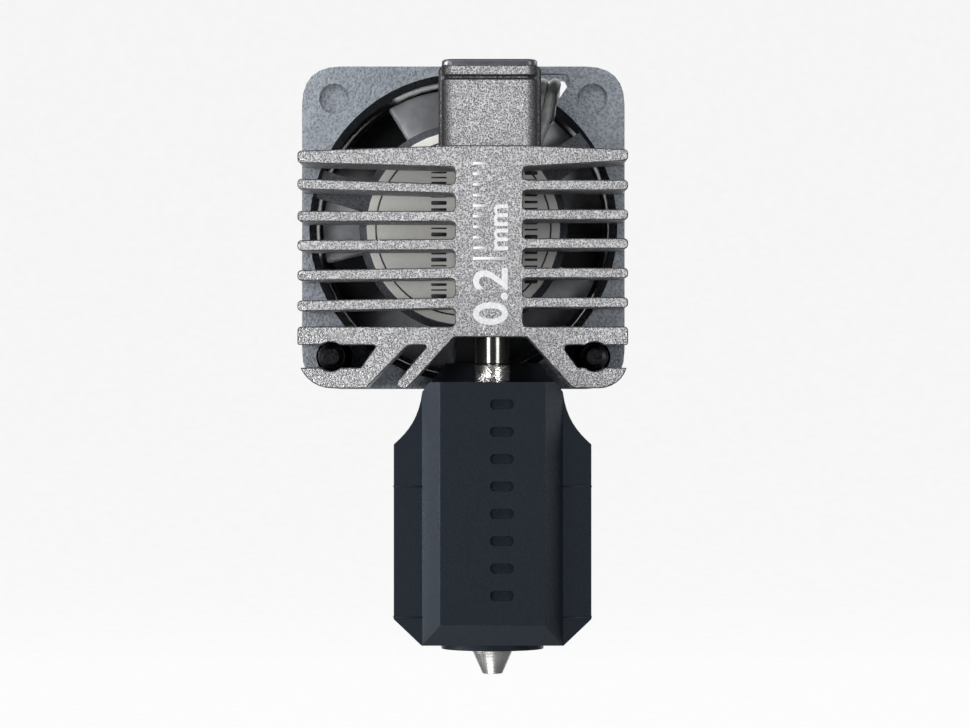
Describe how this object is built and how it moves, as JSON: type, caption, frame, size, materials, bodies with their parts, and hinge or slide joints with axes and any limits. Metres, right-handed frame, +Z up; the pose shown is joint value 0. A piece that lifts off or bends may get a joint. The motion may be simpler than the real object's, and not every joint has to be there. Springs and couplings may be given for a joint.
{
  "type": "hotend assembly",
  "caption": "Printer hotend: finned cast heatsink with a small axial fan behind it, a thin neck, a heater block in a silicone sock and a steel nozzle.",
  "frame": {"origin": "on the flat front face of the heatsink's web, in line with the filament axis and level with the fan's axis", "axes": "+Z up along the filament axis towards the inlet, -Y out of the heatsink's front face, +X to the right seen from the front"},
  "size_m": [0.0251, 0.0254, 0.0468],
  "materials": {
    "cast_aluminium": "die cast and sand blasted, with a fine grain",
    "polished_steel": "turned and polished",
    "plated_metal": "nickel plated over a fine grain",
    "dark_metal": "dark plated, satin",
    "ceramic": "fired white ceramic, matte",
    "silicone": "moulded silicone, matte with a soft sheen",
    "frame_plastic": "glass-filled plastic with a fine grain",
    "blade_plastic": "black moulded plastic, glossy",
    "label_film": "warm silver-white film, satin",
    "bearing_bronze": "sintered bronze",
    "magnet": "bonded ferrite, matte",
    "copper": "enamelled copper wire",
    "board": "green circuit board",
    "black_steel": "black oxide steel",
    "lead_insulation": "grey wire insulation, satin",
    "connector_nylon": "off-white nylon"
  },
  "bodies": {
    "hotend": {"heatsink": "cast_aluminium", "heat_break": "polished_steel", "throat_sleeve": "plated_metal", "heater_block": "dark_metal", "nozzle": "polished_steel", "ceramic_heater": "ceramic", "heater_terminal_left": "plated_metal", "heater_terminal_right": "plated_metal", "thermistor": "polished_steel", "heater_clip": "polished_steel", "fan_frame": "frame_plastic", "fan_label": "label_film", "bearing_tube": "bearing_bronze", "sleeve_bearing": "bearing_bronze", "circuit_board": "board", "hall_sensor": "black_steel", "stator_core": "dark_metal", "stator_coil_1": "copper", "stator_coil_2": "copper", "stator_coil_3": "copper", "stator_coil_4": "copper", "fan_screw_left": "black_steel", "fan_screw_right": "black_steel", "fan_lead_a": "lead_insulation", "fan_lead_b": "lead_insulation", "lead_connector": "connector_nylon", "connector_contact_a": "plated_metal", "connector_contact_b": "plated_metal"},
    "rotor": {"impeller": "blade_plastic", "rotor_cup": "polished_steel", "rotor_magnet": "magnet", "fan_shaft": "polished_steel", "retaining_clip": "black_steel"},
    "sock": {"silicone_sock": "silicone"}
  },
  "joints": [
    {"name": "impeller_spin", "type": "hinge", "parent": "hotend", "child": "rotor", "pos_m": [-0.00225, 0.014, 0], "axis": [0, 1, 0], "continuous": true},
    {"name": "sock_pull", "type": "slide", "parent": "hotend", "child": "sock", "axis": [0, 0, -1], "range_m": [0, 0.024]}
  ]
}
